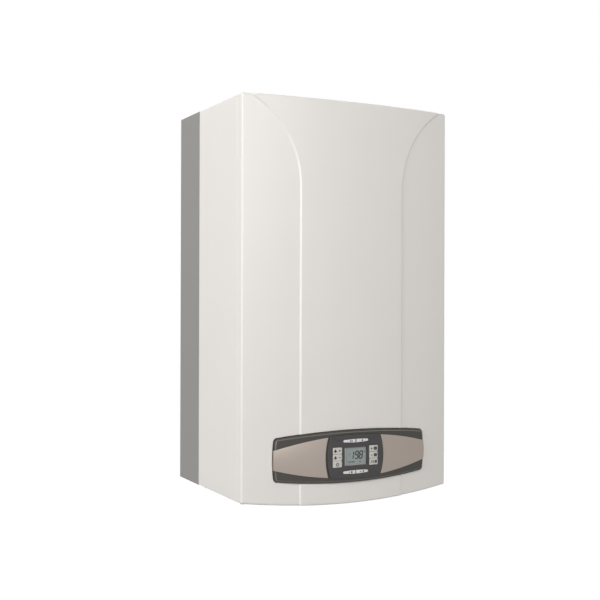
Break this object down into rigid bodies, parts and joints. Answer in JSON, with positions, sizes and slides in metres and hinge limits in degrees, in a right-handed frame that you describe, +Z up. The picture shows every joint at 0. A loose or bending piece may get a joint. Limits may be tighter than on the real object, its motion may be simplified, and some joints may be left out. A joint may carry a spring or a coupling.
{
  "type": "combi boiler",
  "caption": "Wall-hung combi boiler: bowed white casing on a grey frame, dark control panel with metallic wings, display and keys, and its burner, fan, pump and exchangers inside.",
  "frame": {"origin": "midway between the two hanging holes, on the frame's back face", "axes": "+X to the right seen from the front, +Y into the wall, +Z up; the front faces -Y"},
  "size_m": [0.45, 0.3458, 0.787],
  "materials": {
    "white_paint": "satin",
    "grey_paint": "satin",
    "galvanised": "satin",
    "stainless": "satin",
    "screw_steel": "polished",
    "vessel_red": "satin",
    "brass": "satin",
    "copper": "satin",
    "iron_paint": "satin",
    "die_cast": "satin",
    "black_composite": "matte",
    "grey_plastic": "matte",
    "blue_knob": "satin",
    "red_knob": "satin",
    "fibre_board": "matte",
    "ceramic": "satin",
    "seal_foam": "matte",
    "silicone": "satin",
    "circuit_board": "satin",
    "olive_plastic": "satin",
    "champagne_metallic": "satin",
    "aubergine_plastic": "satin",
    "key_plastic": "satin",
    "strip_plastic": "satin",
    "clear_window": "gloss",
    "gauge_face": "satin",
    "needle_red": "satin"
  },
  "bodies": {
    "chassis": {"rear_frame": "grey_paint", "pipe_bracket": "galvanised", "chassis_screws": "screw_steel", "connection_stubs": "brass", "flow_block": "black_composite", "diverter_actuator": "grey_plastic", "return_block": "black_composite", "safety_valve": "brass", "plate_heat_exchanger": "stainless", "pump_body": "iron_paint", "expansion_vessel": "vessel_red", "water_pipes": "copper", "pressure_gauge": "gauge_face", "sealed_chamber": "galvanised", "lid_seal": "seal_foam", "chamber_lid": "galvanised", "burner": "stainless", "combustion_chamber": "stainless", "insulation_boards": "fibre_board", "electrodes": "ceramic", "heat_exchanger": "copper", "smoke_hood": "stainless", "fan_housing": "galvanised", "fan_motor": "die_cast", "flue_collar": "die_cast", "air_pressure_switch": "grey_plastic", "sensing_hoses": "silicone", "gas_valve": "die_cast", "gas_pipes": "galvanised", "control_box": "black_composite", "control_box_cover": "black_composite", "main_board": "circuit_board", "bezel": "olive_plastic", "bezel_wings": "champagne_metallic"},
    "cover": {"front_panel": "white_paint", "left_side_panel": "white_paint", "right_side_panel": "white_paint", "cover_screws": "screw_steel"},
    "controller": {"controller_body": "aubergine_plastic", "controller_back": "aubergine_plastic", "display_board": "circuit_board", "lcd_lens": "clear_window"},
    "fan_wheel": {"fan_impeller": "galvanised"},
    "pump_wheel": {"pump_impeller": "black_composite"},
    "diverter": {"diverter_spindle": "stainless"},
    "turbine": {"flow_turbine": "grey_plastic"},
    "safety_valve_knob": {"safety_knob": "red_knob"},
    "filling_knob": {"fill_knob": "blue_knob"},
    "draining_knob": {"drain_knob": "grey_plastic"},
    "needle": {"gauge_needle": "needle_red"},
    "key_left_upper_cap": {"key_left_upper": "key_plastic"},
    "key_left_middle_cap": {"key_left_middle": "key_plastic"},
    "key_left_lower_cap": {"key_left_lower": "key_plastic"},
    "key_right_upper_cap": {"key_right_upper": "key_plastic"},
    "key_right_middle_cap": {"key_right_middle": "key_plastic"},
    "key_right_lower_cap": {"key_right_lower": "key_plastic"},
    "strip_key_top_left_cap": {"strip_key_top_left": "strip_plastic"},
    "strip_key_top_right_cap": {"strip_key_top_right": "strip_plastic"},
    "strip_key_bottom_left_cap": {"strip_key_bottom_left": "strip_plastic"},
    "strip_key_bottom_right_cap": {"strip_key_bottom_right": "strip_plastic"}
  },
  "joints": [
    {"name": "cover_slide", "type": "slide", "parent": "chassis", "child": "cover", "axis": [0, -1, 0], "range_m": [0, 0.36]},
    {"name": "controller_slide", "type": "slide", "parent": "chassis", "child": "controller", "axis": [0, -1, 0], "range_m": [0, 0.06]},
    {"name": "fan_spin", "type": "hinge", "parent": "chassis", "child": "fan_wheel", "pos_m": [-0.027, -0.1512, -0.051], "axis": [0, -1, 0], "continuous": true},
    {"name": "pump_spin", "type": "hinge", "parent": "chassis", "child": "pump_wheel", "pos_m": [0.112, -0.092, -0.5626], "axis": [0, -1, 0], "continuous": true},
    {"name": "diverter_lift", "type": "slide", "parent": "chassis", "child": "diverter", "axis": [0, 0, 1], "range_m": [0, 0.006], "stiffness_N_per_m": 400, "springref_m": -0.005},
    {"name": "turbine_spin", "type": "hinge", "parent": "chassis", "child": "turbine", "pos_m": [0.065, -0.09, -0.6578], "axis": [0, 0, 1], "continuous": true},
    {"name": "safety_knob_turn", "type": "hinge", "parent": "chassis", "child": "safety_valve_knob", "pos_m": [-0.1, -0.16, -0.6438], "axis": [0, -1, 0], "range_deg": [0, 90]},
    {"name": "fill_knob_turn", "type": "hinge", "parent": "chassis", "child": "filling_knob", "pos_m": [0.0975, -0.118, -0.696], "axis": [0, 0, -1], "range_deg": [0, 360]},
    {"name": "drain_knob_turn", "type": "hinge", "parent": "chassis", "child": "draining_knob", "pos_m": [-0.0975, -0.118, -0.696], "axis": [0, 0, -1], "range_deg": [0, 360]},
    {"name": "needle_turn", "type": "hinge", "parent": "chassis", "child": "needle", "pos_m": [-0.032, -0.126, -0.6972], "axis": [0, 0, 1], "range_deg": [0, 270], "stiffness_Nm_per_rad": 0.002},
    {"name": "key_left_upper_press", "type": "slide", "parent": "controller", "child": "key_left_upper_cap", "axis": [0, 1, 0], "range_m": [0, 0.0008], "stiffness_N_per_m": 1500, "springref_m": -0.0005},
    {"name": "key_left_middle_press", "type": "slide", "parent": "controller", "child": "key_left_middle_cap", "axis": [0, 1, 0], "range_m": [0, 0.0008], "stiffness_N_per_m": 1500, "springref_m": -0.0005},
    {"name": "key_left_lower_press", "type": "slide", "parent": "controller", "child": "key_left_lower_cap", "axis": [0, 1, 0], "range_m": [0, 0.0008], "stiffness_N_per_m": 1500, "springref_m": -0.0005},
    {"name": "key_right_upper_press", "type": "slide", "parent": "controller", "child": "key_right_upper_cap", "axis": [0, 1, 0], "range_m": [0, 0.0008], "stiffness_N_per_m": 1500, "springref_m": -0.0005},
    {"name": "key_right_middle_press", "type": "slide", "parent": "controller", "child": "key_right_middle_cap", "axis": [0, 1, 0], "range_m": [0, 0.0008], "stiffness_N_per_m": 1500, "springref_m": -0.0005},
    {"name": "key_right_lower_press", "type": "slide", "parent": "controller", "child": "key_right_lower_cap", "axis": [0, 1, 0], "range_m": [0, 0.0008], "stiffness_N_per_m": 1500, "springref_m": -0.0005},
    {"name": "strip_key_top_left_press", "type": "slide", "parent": "controller", "child": "strip_key_top_left_cap", "axis": [0, 1, 0], "range_m": [0, 0.0008], "stiffness_N_per_m": 1500, "springref_m": -0.0005},
    {"name": "strip_key_top_right_press", "type": "slide", "parent": "controller", "child": "strip_key_top_right_cap", "axis": [0, 1, 0], "range_m": [0, 0.0008], "stiffness_N_per_m": 1500, "springref_m": -0.0005},
    {"name": "strip_key_bottom_left_press", "type": "slide", "parent": "controller", "child": "strip_key_bottom_left_cap", "axis": [0, 1, 0], "range_m": [0, 0.0008], "stiffness_N_per_m": 1500, "springref_m": -0.0005},
    {"name": "strip_key_bottom_right_press", "type": "slide", "parent": "controller", "child": "strip_key_bottom_right_cap", "axis": [0, 1, 0], "range_m": [0, 0.0008], "stiffness_N_per_m": 1500, "springref_m": -0.0005}
  ]
}
